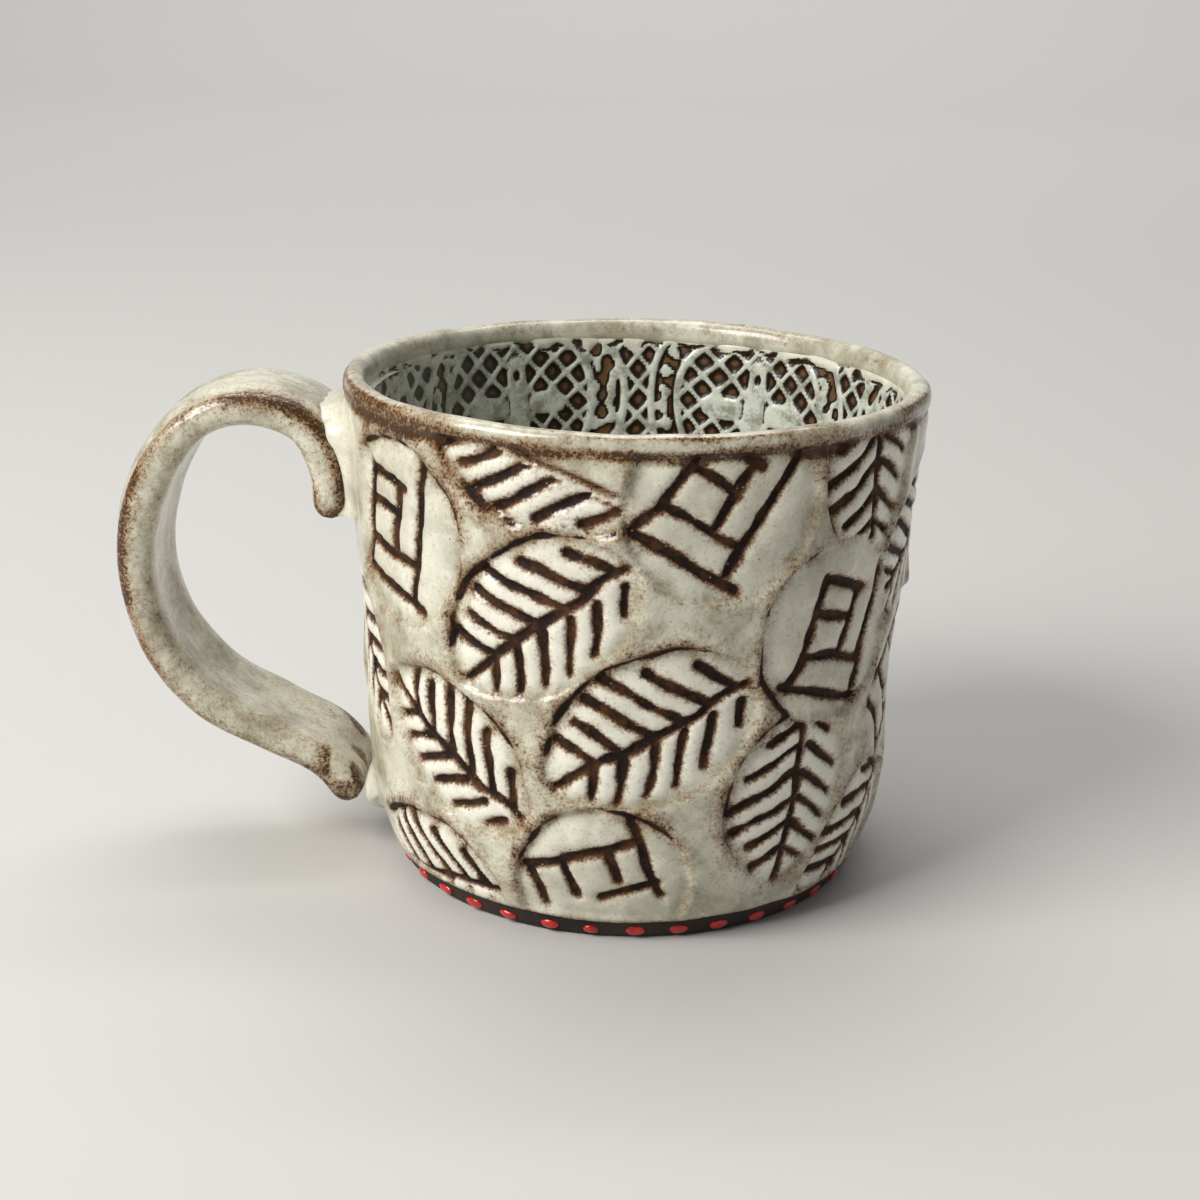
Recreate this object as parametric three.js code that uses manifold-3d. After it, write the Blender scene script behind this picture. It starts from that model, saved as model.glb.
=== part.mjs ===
// A hand-built stoneware mug, in millimetres, +Z up.
// The origin is the middle of the foot's underside, the mug's axis is +Z and the handle points to -X.
// A textured slab is rolled into the wall and stood on a flat floor disc, whose bare edge carries a row of
// raised glaze dots. A pulled strap makes the handle: its top end is folded down flat on the wall and its
// lower end trails down it. Coils of soft clay fill the joints: one in the corner between wall and floor,
// and one round each end of the handle.
import * as THREE from "three";
import { mergeVertices } from "three/addons/utils/BufferGeometryUtils.js";
import Module from "manifold-3d";

const wasm = await Module();
wasm.setup();

// Driving dimensions
const HEIGHT = 80.5;
const RIM_RADIUS = 46; // outside of the lip
const JOINT_GAP = 0.3; // dry gap between neighbouring pieces
const DOT_COUNT = 35;
const ROUND_SEGMENTS = 2 * DOT_COUNT; // every second flat of the foot's edge carries a dot

const CLAY = new THREE.MeshStandardMaterial({ color: 0x34261c, roughness: 0.85, metalness: 0 });
const GLAZE = new THREE.MeshStandardMaterial({ color: 0xd6cdb8, roughness: 0.38, metalness: 0 });
const RED_GLAZE = new THREE.MeshStandardMaterial({ color: 0xb8261c, roughness: 0.3, metalness: 0 });

const mug = new THREE.Group();

function addPiece(name, geometry, material) {
  const mesh = new THREE.Mesh(geometry, material);
  mesh.name = name;
  mug.add(mesh);
}

// Turns an outline of (radius, height) points round the mug's axis.
function turned(outline) {
  return new THREE.LatheGeometry(outline, ROUND_SEGMENTS).rotateX(Math.PI / 2);
}

// A geometry to a manifold-3d solid and back, for the cuts.
function toSolid(geometry) {
  const bare = geometry.clone();
  bare.deleteAttribute("normal");
  bare.deleteAttribute("uv");
  const merged = mergeVertices(bare, 1e-4);
  const vertProperties = new Float32Array(merged.attributes.position.array);
  const triVerts = new Uint32Array(merged.index.array);
  return new wasm.Manifold(new wasm.Mesh({ numProp: 3, vertProperties, triVerts }));
}

function toGeometry(solid) {
  const mesh = solid.getMesh();
  const geometry = new THREE.BufferGeometry();
  geometry.setAttribute("position", new THREE.BufferAttribute(mesh.vertProperties, 3));
  geometry.setIndex(new THREE.BufferAttribute(mesh.triVerts, 1));
  return geometry;
}

// ---- Floor disc: a flat slab whose flared edge stays bare ----
const FLOOR_THICKNESS = 3.7;
const FOOT_RADIUS = 37.2; // where the mug touches the table
const FLOOR_TOP_RADIUS = 38.4;
const FOOT_EASING = 0.5; // sponged lower edge

addPiece(
  "floor_disc",
  turned([
    new THREE.Vector2(0, 0),
    new THREE.Vector2(FOOT_RADIUS - FOOT_EASING, 0),
    new THREE.Vector2(FOOT_RADIUS, FOOT_EASING),
    new THREE.Vector2(FLOOR_TOP_RADIUS, FLOOR_THICKNESS),
    new THREE.Vector2(0, FLOOR_THICKNESS),
  ]),
  CLAY,
);

// ---- Wall: a rounded lower corner, a gentle flare and a thin rounded lip ----
const WALL_BASE = FLOOR_THICKNESS + JOINT_GAP;
const WALL_FOOT_RADIUS = 38.6; // outside, at the lower edge
const BELLY_RADIUS = 42.1; // outside, where the rounded corner ends
const BELLY_HEIGHT = 14;
const CORNER_STEPS = 3;
const CORNER_BULGE = 0.6; // keeps the rounded corner full just below the belly
const CORNER_LIFT = 0.45; // where along the corner's height it turns upwards
const LIP_HEIGHT = 4;
const LIP_BASE = HEIGHT - LIP_HEIGHT;
const LIP_THICKNESS = 3.6;
const LIP_STEPS = 6;
const WALL_THICKNESS = 4.8; // at the belly
const INNER_FOOT_RADIUS = 35.8; // inside, at the lower edge

// The outside, from the lower edge to the lip, moved outwards by grow.
function wallOutside(grow) {
  const path = new THREE.Path();
  path.moveTo(WALL_FOOT_RADIUS + grow, WALL_BASE);
  path.quadraticCurveTo(
    BELLY_RADIUS - CORNER_BULGE + grow,
    WALL_BASE + (BELLY_HEIGHT - WALL_BASE) * CORNER_LIFT,
    BELLY_RADIUS + grow,
    BELLY_HEIGHT,
  );
  const corner = path.getPoints(CORNER_STEPS);
  return [...corner, new THREE.Vector2(RIM_RADIUS + grow, LIP_BASE)];
}

const lip = new THREE.Path();
lip.absellipse(RIM_RADIUS - LIP_THICKNESS / 2, LIP_BASE, LIP_THICKNESS / 2, LIP_HEIGHT, 0, Math.PI);
const wallInside = [
  new THREE.Vector2(BELLY_RADIUS - WALL_THICKNESS, BELLY_HEIGHT),
  new THREE.Vector2(INNER_FOOT_RADIUS, WALL_BASE),
];
const wallOutline = [...wallOutside(0), ...lip.getPoints(LIP_STEPS).slice(1), ...wallInside];
addPiece("wall", turned([...wallOutline, wallOutline[0]]), GLAZE);

// The wall's outside as a solid plug with the joint gap added, to trim what is joined to the wall.
const PLUG_MARGIN = 6; // how far the plug runs past the wall's lower edge and lip
const plugOutside = wallOutside(JOINT_GAP);
const plugTop = new THREE.Vector2(RIM_RADIUS + JOINT_GAP, HEIGHT + PLUG_MARGIN);
const wallPlug = toSolid(
  turned([
    new THREE.Vector2(0, WALL_BASE - PLUG_MARGIN),
    new THREE.Vector2(plugOutside[0].x, WALL_BASE - PLUG_MARGIN),
    ...plugOutside,
    plugTop,
    new THREE.Vector2(0, plugTop.y),
  ]),
);

// ---- Corner coil: a quarter-round fillet of clay where the wall stands on the floor ----
const CORNER_COIL_SIZE = 3.2;
const CORNER_COIL_STEPS = 3;
const cornerRadius = INNER_FOOT_RADIUS - JOINT_GAP;
const cornerBase = FLOOR_THICKNESS + JOINT_GAP;
const cornerFillet = new THREE.Path();
cornerFillet.absarc(
  cornerRadius - CORNER_COIL_SIZE,
  cornerBase + CORNER_COIL_SIZE,
  CORNER_COIL_SIZE,
  0,
  -Math.PI / 2,
  true,
);
const cornerOutline = [
  new THREE.Vector2(cornerRadius, cornerBase),
  ...cornerFillet.getPoints(CORNER_COIL_STEPS),
];
addPiece("corner_coil", turned([...cornerOutline, cornerOutline[0]]), GLAZE);

// ---- Handle strap: a straight bar of the strap's section, bent along the handle's line ----
const STRAP_WIDTH = 21;
const STRAP_THICKNESS = 6;
const STRAP_EDGE = 2.6; // rounding of its edges
const STRAP_STEPS = 30;
const STRAP_CROWN = 1.2; // how far the middle of its back stands above the edges
const TIP_THICKNESS = 0.55; // the ends' thickness as a share of the strap's
const TIP_WIDTH = 0.9; // the ends' width as a share of the strap's
const TIP_STEPS = 1.5; // steps from an end to the full section
// The handle's line, from the folded top end round to the tail, as (distance from the axis, height).
const HANDLE_LINE = new THREE.SplineCurve([
  new THREE.Vector2(47.6, 57.5),
  new THREE.Vector2(47.9, 65.2),
  new THREE.Vector2(51.8, 71.8),
  new THREE.Vector2(60.5, 74.2),
  new THREE.Vector2(69.5, 71),
  new THREE.Vector2(76.6, 61),
  new THREE.Vector2(79.1, 48.5),
  new THREE.Vector2(76.2, 35.5),
  new THREE.Vector2(68.8, 25.8),
  new THREE.Vector2(58.5, 20.2),
  new THREE.Vector2(49.6, 15.6),
  new THREE.Vector2(44.4, 9.5),
]);

function strapSection(grow) {
  const across = STRAP_WIDTH / 2 + grow;
  const deep = STRAP_THICKNESS / 2 + grow;
  const section = new THREE.Shape();
  section.moveTo(deep - STRAP_EDGE, -across);
  section.quadraticCurveTo(deep, -across, deep, -across + STRAP_EDGE);
  section.quadraticCurveTo(deep + STRAP_CROWN, 0, deep, across - STRAP_EDGE);
  section.quadraticCurveTo(deep, across, deep - STRAP_EDGE, across);
  section.lineTo(STRAP_EDGE - deep, across);
  section.quadraticCurveTo(-deep, across, -deep, across - STRAP_EDGE);
  section.lineTo(-deep, STRAP_EDGE - across);
  section.quadraticCurveTo(-deep, -across, STRAP_EDGE - deep, -across);
  return section;
}

// The strap as a solid, swollen by grow all round and thinned at its two ends.
function strapSolid(grow) {
  const bar = new THREE.ExtrudeGeometry(strapSection(grow), {
    depth: 1,
    steps: STRAP_STEPS,
    curveSegments: 2,
    bevelEnabled: false,
  });
  const position = bar.attributes.position;
  for (let i = 0; i < position.count; i += 1) {
    const along = position.getZ(i);
    const point = HANDLE_LINE.getPointAt(along);
    const tangent = HANDLE_LINE.getTangentAt(along);
    const inward = Math.min(1, (Math.min(along, 1 - along) * STRAP_STEPS) / TIP_STEPS);
    const out = position.getX(i) * THREE.MathUtils.lerp(TIP_THICKNESS, 1, inward);
    const side = position.getY(i) * THREE.MathUtils.lerp(TIP_WIDTH, 1, inward);
    // The section's +X is the handle's back, on the left of the line's direction.
    position.setXYZ(i, tangent.y * out - point.x, side, point.y + tangent.x * out);
  }
  return toSolid(bar);
}
addPiece("handle_strap", toGeometry(strapSolid(0).subtract(wallPlug)), GLAZE);

// ---- Join coils: soft clay worked into the corner between each end of the strap and the wall ----
const JOIN_COIL_RADIUS = 2.4;
const JOIN_COIL_SIDES = 8;
const JOIN_COIL_STEPS = 20;
const grownStrap = strapSolid(JOINT_GAP);

function wallRadius(height) {
  const profile = wallOutside(0);
  const next = Math.max(1, profile.findIndex((point) => point.y >= height));
  const below = profile[next - 1];
  const above = profile[next];
  return THREE.MathUtils.mapLinear(height, below.y, above.y, below.x, above.x);
}

// A coil laid on the wall along (distance to the side, height) points beside the handle.
function addJoinCoil(name, layout, lift) {
  const points = layout.map(([side, height]) => {
    const radius = wallRadius(height) + lift;
    const turn = side / radius;
    return new THREE.Vector3(-radius * Math.cos(turn), radius * Math.sin(turn), height);
  });
  const round = new THREE.Shape();
  round.absarc(0, 0, JOIN_COIL_RADIUS, 0, 2 * Math.PI);
  const coil = new THREE.ExtrudeGeometry(round, {
    steps: JOIN_COIL_STEPS,
    curveSegments: JOIN_COIL_SIDES / 2,
    extrudePath: new THREE.CatmullRomCurve3(points),
    bevelEnabled: false,
  });
  addPiece(name, toGeometry(toSolid(coil).subtract(wallPlug).subtract(grownStrap)), GLAZE);
}
addJoinCoil(
  "upper_join_coil",
  [
    [-11.2, 57.5],
    [-11.8, 65],
    [-10.8, 72],
    [-5, 75.2],
    [5, 75.2],
    [10.8, 72],
    [11.8, 65],
    [11.2, 57.5],
  ],
  1,
);
addJoinCoil(
  "lower_join_coil",
  [
    [-10.4, 22],
    [-11.2, 17],
    [-9.6, 10.6],
    [-4, 7.6],
    [4, 7.6],
    [9.6, 10.6],
    [11.2, 17],
    [10.4, 22],
  ],
  0.8,
);

// ---- Dots: drops of red glaze on the flats of the foot's bare edge ----
const DOT_WIDTH = 2.9;
const DOT_HEIGHT = 1.7;
const DOT_PROUD = 0.55;
const DOT_CENTRE = 1.6; // height above the table
const DOT_SIDES = 10;
const DOT_GAP = 0.05;
const edgeFlare = (FLOOR_TOP_RADIUS - FOOT_RADIUS) / (FLOOR_THICKNESS - FOOT_EASING);
const edgeLean = Math.atan(edgeFlare);
const flatRadius =
  (FOOT_RADIUS + (DOT_CENTRE - FOOT_EASING) * edgeFlare) * Math.cos(Math.PI / ROUND_SEGMENTS);
const firstFlat = Math.PI / ROUND_SEGMENTS - Math.PI / 2;

const dropOutline = [
  new THREE.Vector2(0, 0),
  new THREE.Vector2(1, 0),
  new THREE.Vector2(0.82, 0.62),
  new THREE.Vector2(0, 1),
];

for (let i = 0; i < DOT_COUNT; i += 1) {
  const azimuth = firstFlat + (2 * Math.PI * i) / DOT_COUNT;
  const radial = new THREE.Vector3(Math.cos(azimuth), Math.sin(azimuth), 0);
  const around = new THREE.Vector3(-Math.sin(azimuth), Math.cos(azimuth), 0);
  const down = new THREE.Vector3(0, 0, -Math.cos(edgeLean)).addScaledVector(radial, -Math.sin(edgeLean));
  const outward = new THREE.Vector3().crossVectors(down, around);
  const seat = radial.clone().multiplyScalar(flatRadius).setZ(DOT_CENTRE).addScaledVector(outward, DOT_GAP);
  const drop = new THREE.LatheGeometry(dropOutline, DOT_SIDES);
  drop.scale(DOT_WIDTH / 2, DOT_PROUD, DOT_HEIGHT / 2);
  drop.applyMatrix4(new THREE.Matrix4().makeBasis(around, outward, down).setPosition(seat));
  addPiece(`dot_${String(i + 1).padStart(2, "0")}`, drop, RED_GLAZE);
}

export default mug;
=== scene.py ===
import math

import bpy
import numpy as np
from mathutils import Euler, Matrix, Vector


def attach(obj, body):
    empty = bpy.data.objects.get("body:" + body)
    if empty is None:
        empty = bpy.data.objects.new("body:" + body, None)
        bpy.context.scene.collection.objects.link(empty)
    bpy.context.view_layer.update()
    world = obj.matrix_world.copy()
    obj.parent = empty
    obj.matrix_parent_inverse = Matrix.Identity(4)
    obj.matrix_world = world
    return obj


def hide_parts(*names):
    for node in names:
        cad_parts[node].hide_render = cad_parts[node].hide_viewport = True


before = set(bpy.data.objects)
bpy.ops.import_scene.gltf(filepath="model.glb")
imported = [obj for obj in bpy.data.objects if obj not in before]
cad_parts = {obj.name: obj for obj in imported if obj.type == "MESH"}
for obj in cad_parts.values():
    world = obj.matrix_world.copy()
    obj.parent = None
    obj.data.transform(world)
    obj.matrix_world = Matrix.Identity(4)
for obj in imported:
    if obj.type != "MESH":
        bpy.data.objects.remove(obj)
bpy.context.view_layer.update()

# ---------------------------------------------------------------------------------------------------------
# Wall, outer face and lip. A slab of dark stoneware is rolled out, pressed with carved leaf and medallion
# blocks while it lies flat, curled round and joined; the lip is thinned and sponged round. Black iron wash
# is left in the carved lines, and a milky glaze lies over it, breaking brown wherever it runs thin.
MM = 0.001
WALL_COLUMNS = 560
FACE_STEP = 0.54  # row spacing down the faces, mm
WALL_FACE = [
    (38.55, 3.45), (39.15, 4.0), (40.5, 7.8), (41.9, 13), (42.5, 20), (42.95, 27), (43.5, 40), (44.1, 50),
    (44.7, 60), (45.35, 70), (45.8, 75), (45.75, 76.6), (46.0, 78.2), (45.9, 79.6), (45.1, 80.4),
    (44.1, 80.5), (43.1, 80.1), (42.55, 79.2), (42.35, 78.0), (42.33, 77.3), (42.75, 76.6),
]
WALL_CORE = [(43.4, 75.6), (41.8, 45), (40.2, 18), (38.0, 3.95)]  # hidden inside the clay
CORE_STEP = 6.5
LIP_CREST = 80.4
DEEPEST_CUT = 1.6
UNROLLED_RADIUS = 44.0  # the stamps' layout is measured round the wall at this radius, mm


def smooth_path(points, step, closed=False):
    """A smooth path through the points, resampled at about one point every step."""
    p = np.asarray(points, float)
    if closed:
        p = np.vstack([p[-1:], p, p[:2]])
    else:
        p = np.vstack([2 * p[0] - p[1], p, 2 * p[-1] - p[-2]])
    t = np.linspace(0, 1, 24, endpoint=False)[:, None]
    a, b, c, d = p[:-3, None], p[1:-2, None], p[2:-1, None], p[3:, None]
    fine = b + 0.5 * t * (c - a + t * (2 * a - 5 * b + 4 * c - d + t * (3 * (b - c) + d - a)))
    fine = np.vstack([fine.reshape(-1, p.shape[1]), p[-2:-1]])
    length = np.concatenate([[0], np.cumsum(np.linalg.norm(np.diff(fine, axis=0), axis=1))])
    at = np.linspace(0, length[-1], max(3, round(length[-1] / step) + 1))
    path = np.stack([np.interp(at, length, column) for column in fine.T], axis=1)
    return path[:-1] if closed else path


def turned(name, outline, columns=WALL_COLUMNS):
    """A new piece: the closed outline of (radius, height) in mm, spun round the mug's axis."""
    bpy.ops.object.select_all(action="DESELECT")
    bpy.ops.mesh.primitive_circle_add(vertices=len(outline), radius=MM)
    piece = bpy.context.object
    piece.name = piece.data.name = name
    profile = np.column_stack([outline[:, 0], np.zeros(len(outline)), outline[:, 1]]) * MM
    piece.data.vertices.foreach_set("co", profile.ravel())
    bpy.ops.object.mode_set(mode="EDIT")
    bpy.ops.mesh.select_all(action="SELECT")
    bpy.ops.mesh.spin(steps=columns, angle=2 * math.pi, center=(0, 0, 0), axis=(0, 0, 1))
    bpy.ops.mesh.select_all(action="SELECT")
    bpy.ops.mesh.remove_doubles(threshold=0.001 * MM)
    bpy.ops.mesh.delete_loose(use_faces=False)
    bpy.ops.mesh.select_all(action="SELECT")
    bpy.ops.mesh.normals_make_consistent(inside=False)
    bpy.ops.object.mode_set(mode="OBJECT")
    piece.location = (0, 0, 0)
    bpy.ops.object.shade_smooth()
    return piece


def points_of(piece):
    """The piece's vertices in mm, one row each."""
    flat = np.empty(len(piece.data.vertices) * 3)
    piece.data.vertices.foreach_get("co", flat)
    return flat.reshape(-1, 3) / MM


def move_points(piece, points):
    piece.data.vertices.foreach_set("co", (points * MM).ravel())
    piece.data.update()


def paint(piece, **fields):
    """Stores each field of one number per vertex where the materials can read it."""
    for name, values in fields.items():
        attribute = piece.data.attributes.new(name, "FLOAT", "POINT")
        attribute.data.foreach_set("value", np.asarray(values, np.float32))


def ripple(points, size, seed, waves=14):
    """A smooth random field of about -1 to 1, whose bumps are about size mm across."""
    rng = np.random.default_rng(seed)
    heading = rng.normal(size=(3, waves))
    heading *= math.pi / size / np.linalg.norm(heading, axis=0)
    return np.sin(points @ heading + rng.uniform(0, 2 * math.pi, waves)).sum(1) / math.sqrt(waves)


def ease(x, low, high):
    """0 up to low, 1 from high, smooth between; low may be above high."""
    t = np.clip((x - low) / (high - low), 0, 1)
    return t * t * (3 - 2 * t)


def bell(x, width):
    """1 at 0, down to next to nothing two widths away."""
    return np.exp(-((x / width) ** 2))


def outline_rows(points, outline):
    """For each vertex of a turned piece, the number of its outline point."""
    radius = np.hypot(points[:, 0], points[:, 1]).astype(np.float32)
    height = points[:, 2].astype(np.float32)
    rows = np.empty(len(points), int)
    for start in range(0, len(points), 20000):
        part = slice(start, start + 20000)
        off = np.hypot(radius[part, None] - outline[None, :, 0], height[part, None] - outline[None, :, 1])
        rows[part] = off.argmin(1)
    return rows


def outline_normals(outline):
    """Outward (radius, height) directions along a closed outline that runs counter-clockwise."""
    along = np.roll(outline, -1, axis=0) - np.roll(outline, 1, axis=0)
    across = np.column_stack([along[:, 1], -along[:, 0]])
    return across / np.linalg.norm(across, axis=1)[:, None]


def raise_surface(piece, points, rows, outline, height):
    """Moves each vertex of a turned piece outwards by its height in mm."""
    out = outline_normals(outline)[rows]
    radial = points[:, :2] / np.maximum(np.hypot(points[:, 0], points[:, 1]), 1e-6)[:, None]
    step = np.column_stack([radial * out[:, :1], out[:, 1]])
    move_points(piece, points + step * height[:, None])


def stroke(u, v, start, end, half_start, half_end):
    """Distance in mm from the edge of a stroke with round ends; below 0 inside it."""
    du, dv = end[0] - start[0], end[1] - start[1]
    along = np.clip(((u - start[0]) * du + (v - start[1]) * dv) / (du * du + dv * dv), 0, 1)
    half = half_start + (half_end - half_start) * along
    return np.hypot(u - start[0] - along * du, v - start[1] - along * dv) - half


def loop_distance(u, v, loop):
    """Distance in mm from a closed loop; below 0 inside it."""
    best = np.full(len(u), 1e9)
    inside = np.zeros(len(u), bool)
    for (ax, ay), (bx, by) in zip(loop, np.roll(loop, -1, axis=0)):
        best = np.minimum(best, stroke(u, v, (ax, ay), (bx, by), 0, 0))
        if ay != by:
            inside ^= ((ay > v) != (by > v)) & (u < (bx - ax) * (v - ay) / (by - ay) + ax)
    return np.where(inside, -best, best)


# A leaf block: the midrib runs along u with the tip at -u, and the side veins lean back towards the tip.
LEAF_LOOP = smooth_path(
    [
        (-16.6, 1.2), (-14.8, 4.8), (-10.6, 9), (-4, 11.8), (2, 12.2), (8, 10.9), (12.8, 7.6), (16, 3.2),
        (16.4, -1.4), (12.2, -6.8), (5.2, -9.8), (-1.7, -9.8), (-7.5, -8.2), (-13, -5.1), (-16.2, -1.6),
    ],
    1.5,
    closed=True,
)
MIDRIB = ((-16, -0.5), (-8, -0.1), (0, 0.1), (7.5, 0.3), (12, 1.2), (15.4, 0.8))
FIRST_VEIN = -9.3  # where the veins nearest the tip leave the midrib
VEIN_SPACING = 4.65
VEIN_LEAN = math.radians(55)
VEIN_HALF = 0.64  # half the width of a carved vein
# Each side's veins: lengths from the tip on, how much further from the axis each starts, and the widths of
# its two ends.
VEINS = {
    1: ((6.2, 7.6, 10.8, 12.6, 10.2, 6.8), 0.14, (0.85, 1.0)),
    -1: ((4.9, 7, 7.8, 8.3, 7.6, 4), 0.2, (1.0, 0.6)),
}


def leaf_lines(u, v, breadth):
    lines = np.full(len(u), 1e9)
    for start, end in zip(MIDRIB, MIDRIB[1:]):
        thick, thin = (VEIN_HALF * (1.1 - 0.024 * abs(x)) for x in (start[0], end[0]))
        lines = np.minimum(lines, stroke(u, v, start, end, thick, thin))
    for side, (lengths, spread, ends) in VEINS.items():
        for k, length in enumerate(lengths):
            foot = (FIRST_VEIN + VEIN_SPACING * k, side * (0.5 + spread * k))
            height = foot[1] + side * length * math.sin(VEIN_LEAN)
            tip = (foot[0] - length * math.cos(VEIN_LEAN), height * breadth)
            lines = np.minimum(lines, stroke(u, v, foot, tip, VEIN_HALF * ends[0], VEIN_HALF * ends[1]))
    return lines


def half_leaf_lines(u, v, breadth):
    """The same block tipped over, so that only its long veins and a hair of the midrib reached the clay."""
    veins = leaf_lines(u, v, breadth) + 4 * ease(v, 1.5, 0.7)
    hair = np.abs(v - 0.1) - 0.12 + 4 * ease(np.abs(u), 12, 15)
    return np.minimum(veins, hair)


def leaf_edge(u, v, breadth):
    return loop_distance(u, v / breadth, LEAF_LOOP)


def half_leaf_edge(u, v, breadth):
    return np.maximum(leaf_edge(u, v, breadth), -0.4 - v)


BAR_HALVES = 0.66, 0.62  # half the width of a carved bar at its two ends


def bars(strokes):
    """The carved lines of a medallion block, from the two ends of each bar."""

    def lines(u, v, breadth):
        nearest = np.full(len(u), 1e9)
        for start, end in strokes:
            nearest = np.minimum(nearest, stroke(u, v, start, end, *BAR_HALVES))
        return nearest

    return lines


# Two medallion blocks, each a round dish with plain bars carved in it: a window and a comb.
MEDALLION_RADIUS = 14.2
WINDOW_BARS = (
    ((5, -8.5), (5.2, 12)),
    ((-11, -9.7), (7.6, -9.8)),
    ((-8.1, 7.6), (-8.2, -4.5)),
    ((-8.2, -4.5), (-9.8, -9)),
    ((-8, 7.5), (1, 7.2)),
    ((-8, 2.4), (0, 2.2)),
    ((-8.3, -4.1), (5, -4)),
    ((-0.2, 7), (-0.2, -3.8)),
)
COMB_BARS = (
    ((-11.7, 6.9), (7.8, 6.9)),
    ((-11.1, 6.9), (-10, 0.2)),
    ((-4.6, 6.9), (-4.4, 0)),
    ((3, 6.8), (3.2, 0.8)),
    ((8.1, 10.8), (8.7, -3.6)),
    ((-0.4, -1.4), (9.1, -1.1)),
)


def dish_edge(u, v, breadth):
    return np.hypot(u, v) - MEDALLION_RADIUS


BLOCKS = {
    "leaf": (leaf_edge, leaf_lines),
    "half leaf": (half_leaf_edge, half_leaf_lines),
    "window": (dish_edge, bars(WINDOW_BARS)),
    "comb": (dish_edge, bars(COMB_BARS)),
}
# Each stamp: block, angle round the wall, height, turn, size, breadth, slide of its lines along u, and the
# direction of its deepest side. A negative breadth is the mirrored leaf. Later stamps lie over earlier ones.
STAMPS = (
    ("leaf", -163, 39, 128, 1.0, 0.85, 0, 60),
    ("leaf", -139.2, 4.5, 4, 1.0, 0.92, 0, 95),
    ("half leaf", -108.3, 76.2, -21, 1.0, -0.85, 0, 250),
    ("leaf", -37.8, 73.4, 91, 0.95, 0.98, 0, 170),
    ("leaf", -14, 57.5, 29, 1.0, 0.9, 0, 150),
    ("leaf", -30.2, 10.2, 50, 0.97, 0.9, 0, 135),
    ("leaf", -128.5, 28, -34, 0.97, 0.92, 0, 50),
    ("comb", -94.3, 9.4, 18, 1.0, 1, 0, 110),
    ("leaf", -53, 22.6, 83, 0.9, 1.12, 0, 150),
    ("leaf", -84.9, 34.9, 27, 1.05, 0.98, 0, 130),
    ("leaf", -107, 51.2, 36, 1.0, 1, 0, 130),
    ("window", -12.5, 34, -52, 1.0, 1, 0, 190),
    ("window", -73.2, 70, -31, 1.0, 1, 0.6, 100),
    ("window", -45.9, 48.4, -15, 1.0, 1, 3.7, 165),
    ("window", -142, 60.8, -9, 1.0, 1, 0, 50),
    ("leaf", 8, 9, 18, 1.0, 0.9, 0, 110),
    ("leaf", 24, 71, 160, 1.0, 0.85, 0, 100),
    ("leaf", 18, 40, 65, 1.02, -0.9, 0, 150),
    ("comb", 46, 21, 24, 1.0, 1, 0, 130),
    ("leaf", 52, 53, -38, 1.02, 0.9, 0, 60),
    ("window", 66, 76, 70, 1.0, 1, 0, 250),
    ("leaf", 80, 31, 30, 1.04, 0.95, 0, 120),
    ("leaf", 92, 5, -8, 1.0, 0.9, 0, 90),
    ("window", 96, 57, -22, 1.0, 1, 1.5, 120),
    ("leaf", 122, 23, 70, 1.02, -0.9, 0, 160),
    ("leaf", 124, 72, 25, 1.0, 0.85, 0, 120),
    ("window", 140, 44, 150, 1.0, 1, 0, 100),
    ("leaf", 150, 11, -20, 0.96, 0.85, 0, 70),
    ("leaf", 166, 36, 100, 0.94, 0.85, 0, 140),
)


STAMP_REACH = 23  # nothing further than this from a stamp's middle is touched by it
LIP_START, LIP_CLEAR = 76.8, 78.2
FOOT_CLEAR, FOOT_START = 3.5, 4.8
GROOVE_DEPTH = 0.6
WRAP = 2 * math.pi * UNROLLED_RADIUS
STRAP_HALF = 10
JOIN_LEVELS = ((66, 9), (15, 8))  # each join's middle height and half height


def smeared(points):
    """1 where fingers smoothed the wall round the handle's two ends, 0 away from them."""
    side = np.maximum(np.abs(points[:, 1]) - STRAP_HALF, 0)
    off = [np.hypot(side, np.maximum(np.abs(points[:, 2] - level) - half, 0)) for level, half in JOIN_LEVELS]
    return np.where(points[:, 0] < 0, ease(np.minimum(*off), 9.5, 5.0), 0)


def pad_floor(block, edge, lines, deep):
    """Depth in mm of the pressed pad: sunk at its edge, most on its deep side, swelling between lines."""
    if "leaf" in block:
        return -0.3 - (0.2 + 0.55 * deep) * bell(edge, 2.4) + 0.22 * ease(lines, 0, 2.2)
    dished = -0.45 - (0.1 + 0.5 * deep) * bell(edge, 3.2) - 0.3 * ease(edge, -2, -9)
    return dished + 0.18 * ease(lines, 0, 1.8)


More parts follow.
